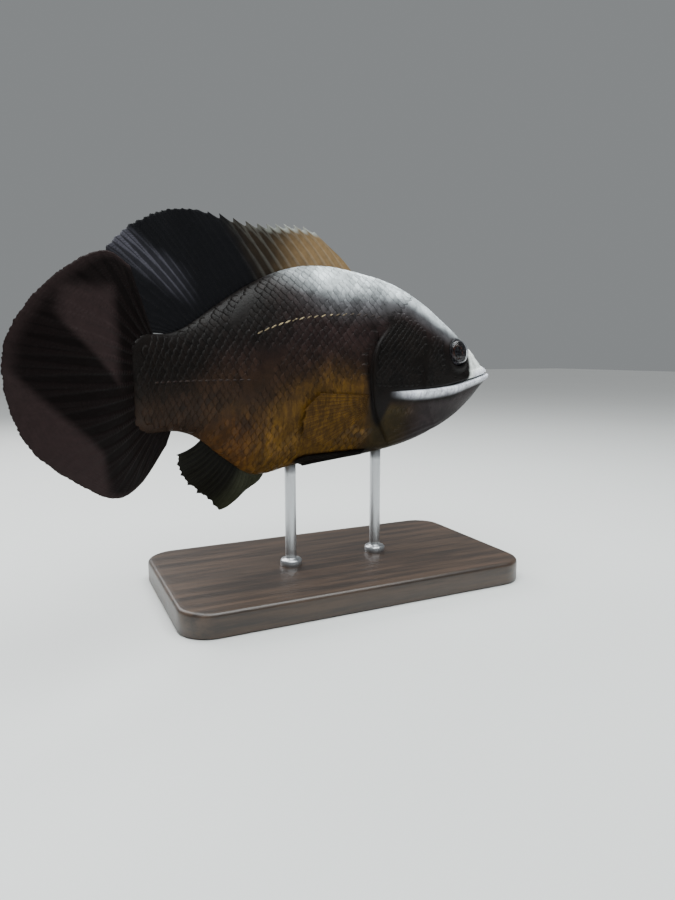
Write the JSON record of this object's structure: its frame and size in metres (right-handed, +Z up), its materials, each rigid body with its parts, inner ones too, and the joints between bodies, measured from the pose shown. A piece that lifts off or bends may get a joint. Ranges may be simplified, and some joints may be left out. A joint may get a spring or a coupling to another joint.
{
  "type": "oscar fish",
  "caption": "Life-size model of a swimming oscar fish with its fins spread and tail swept to one side, held on a flat base by rods.",
  "frame": {"origin": "middle of the stand's underside", "axes": "+X towards the fish's head, +Y to its left, +Z up"},
  "size_m": [0.2624, 0.1325, 0.1885],
  "materials": {
    "flesh": "wet scaled skin, dark brown with ochre flanks and a grey back",
    "lips": "smooth wet skin, lavender grey",
    "fins": "thin ribbed membrane, slate to maroon",
    "eyes": "clear cornea over a dark iris",
    "base": "dark satin lacquer",
    "rods": "satin"
  },
  "bodies": {
    "root": {"head": "flesh", "lower_jaw": "lips", "trunk": "flesh", "tail": "flesh", "dorsal_fin_spines": "fins", "dorsal_fin_soft": "fins", "anal_fin": "fins", "caudal_fin": "fins", "eye_left": "eyes", "eye_right": "eyes", "gill_cover_left": "flesh", "gill_cover_right": "flesh", "pectoral_fin_left": "fins", "pectoral_fin_right": "fins", "pelvic_fin_left": "fins", "pelvic_fin_right": "fins", "stand_base": "base", "stand_rod_front": "rods", "stand_rod_rear": "rods"}
  },
  "joints": []
}
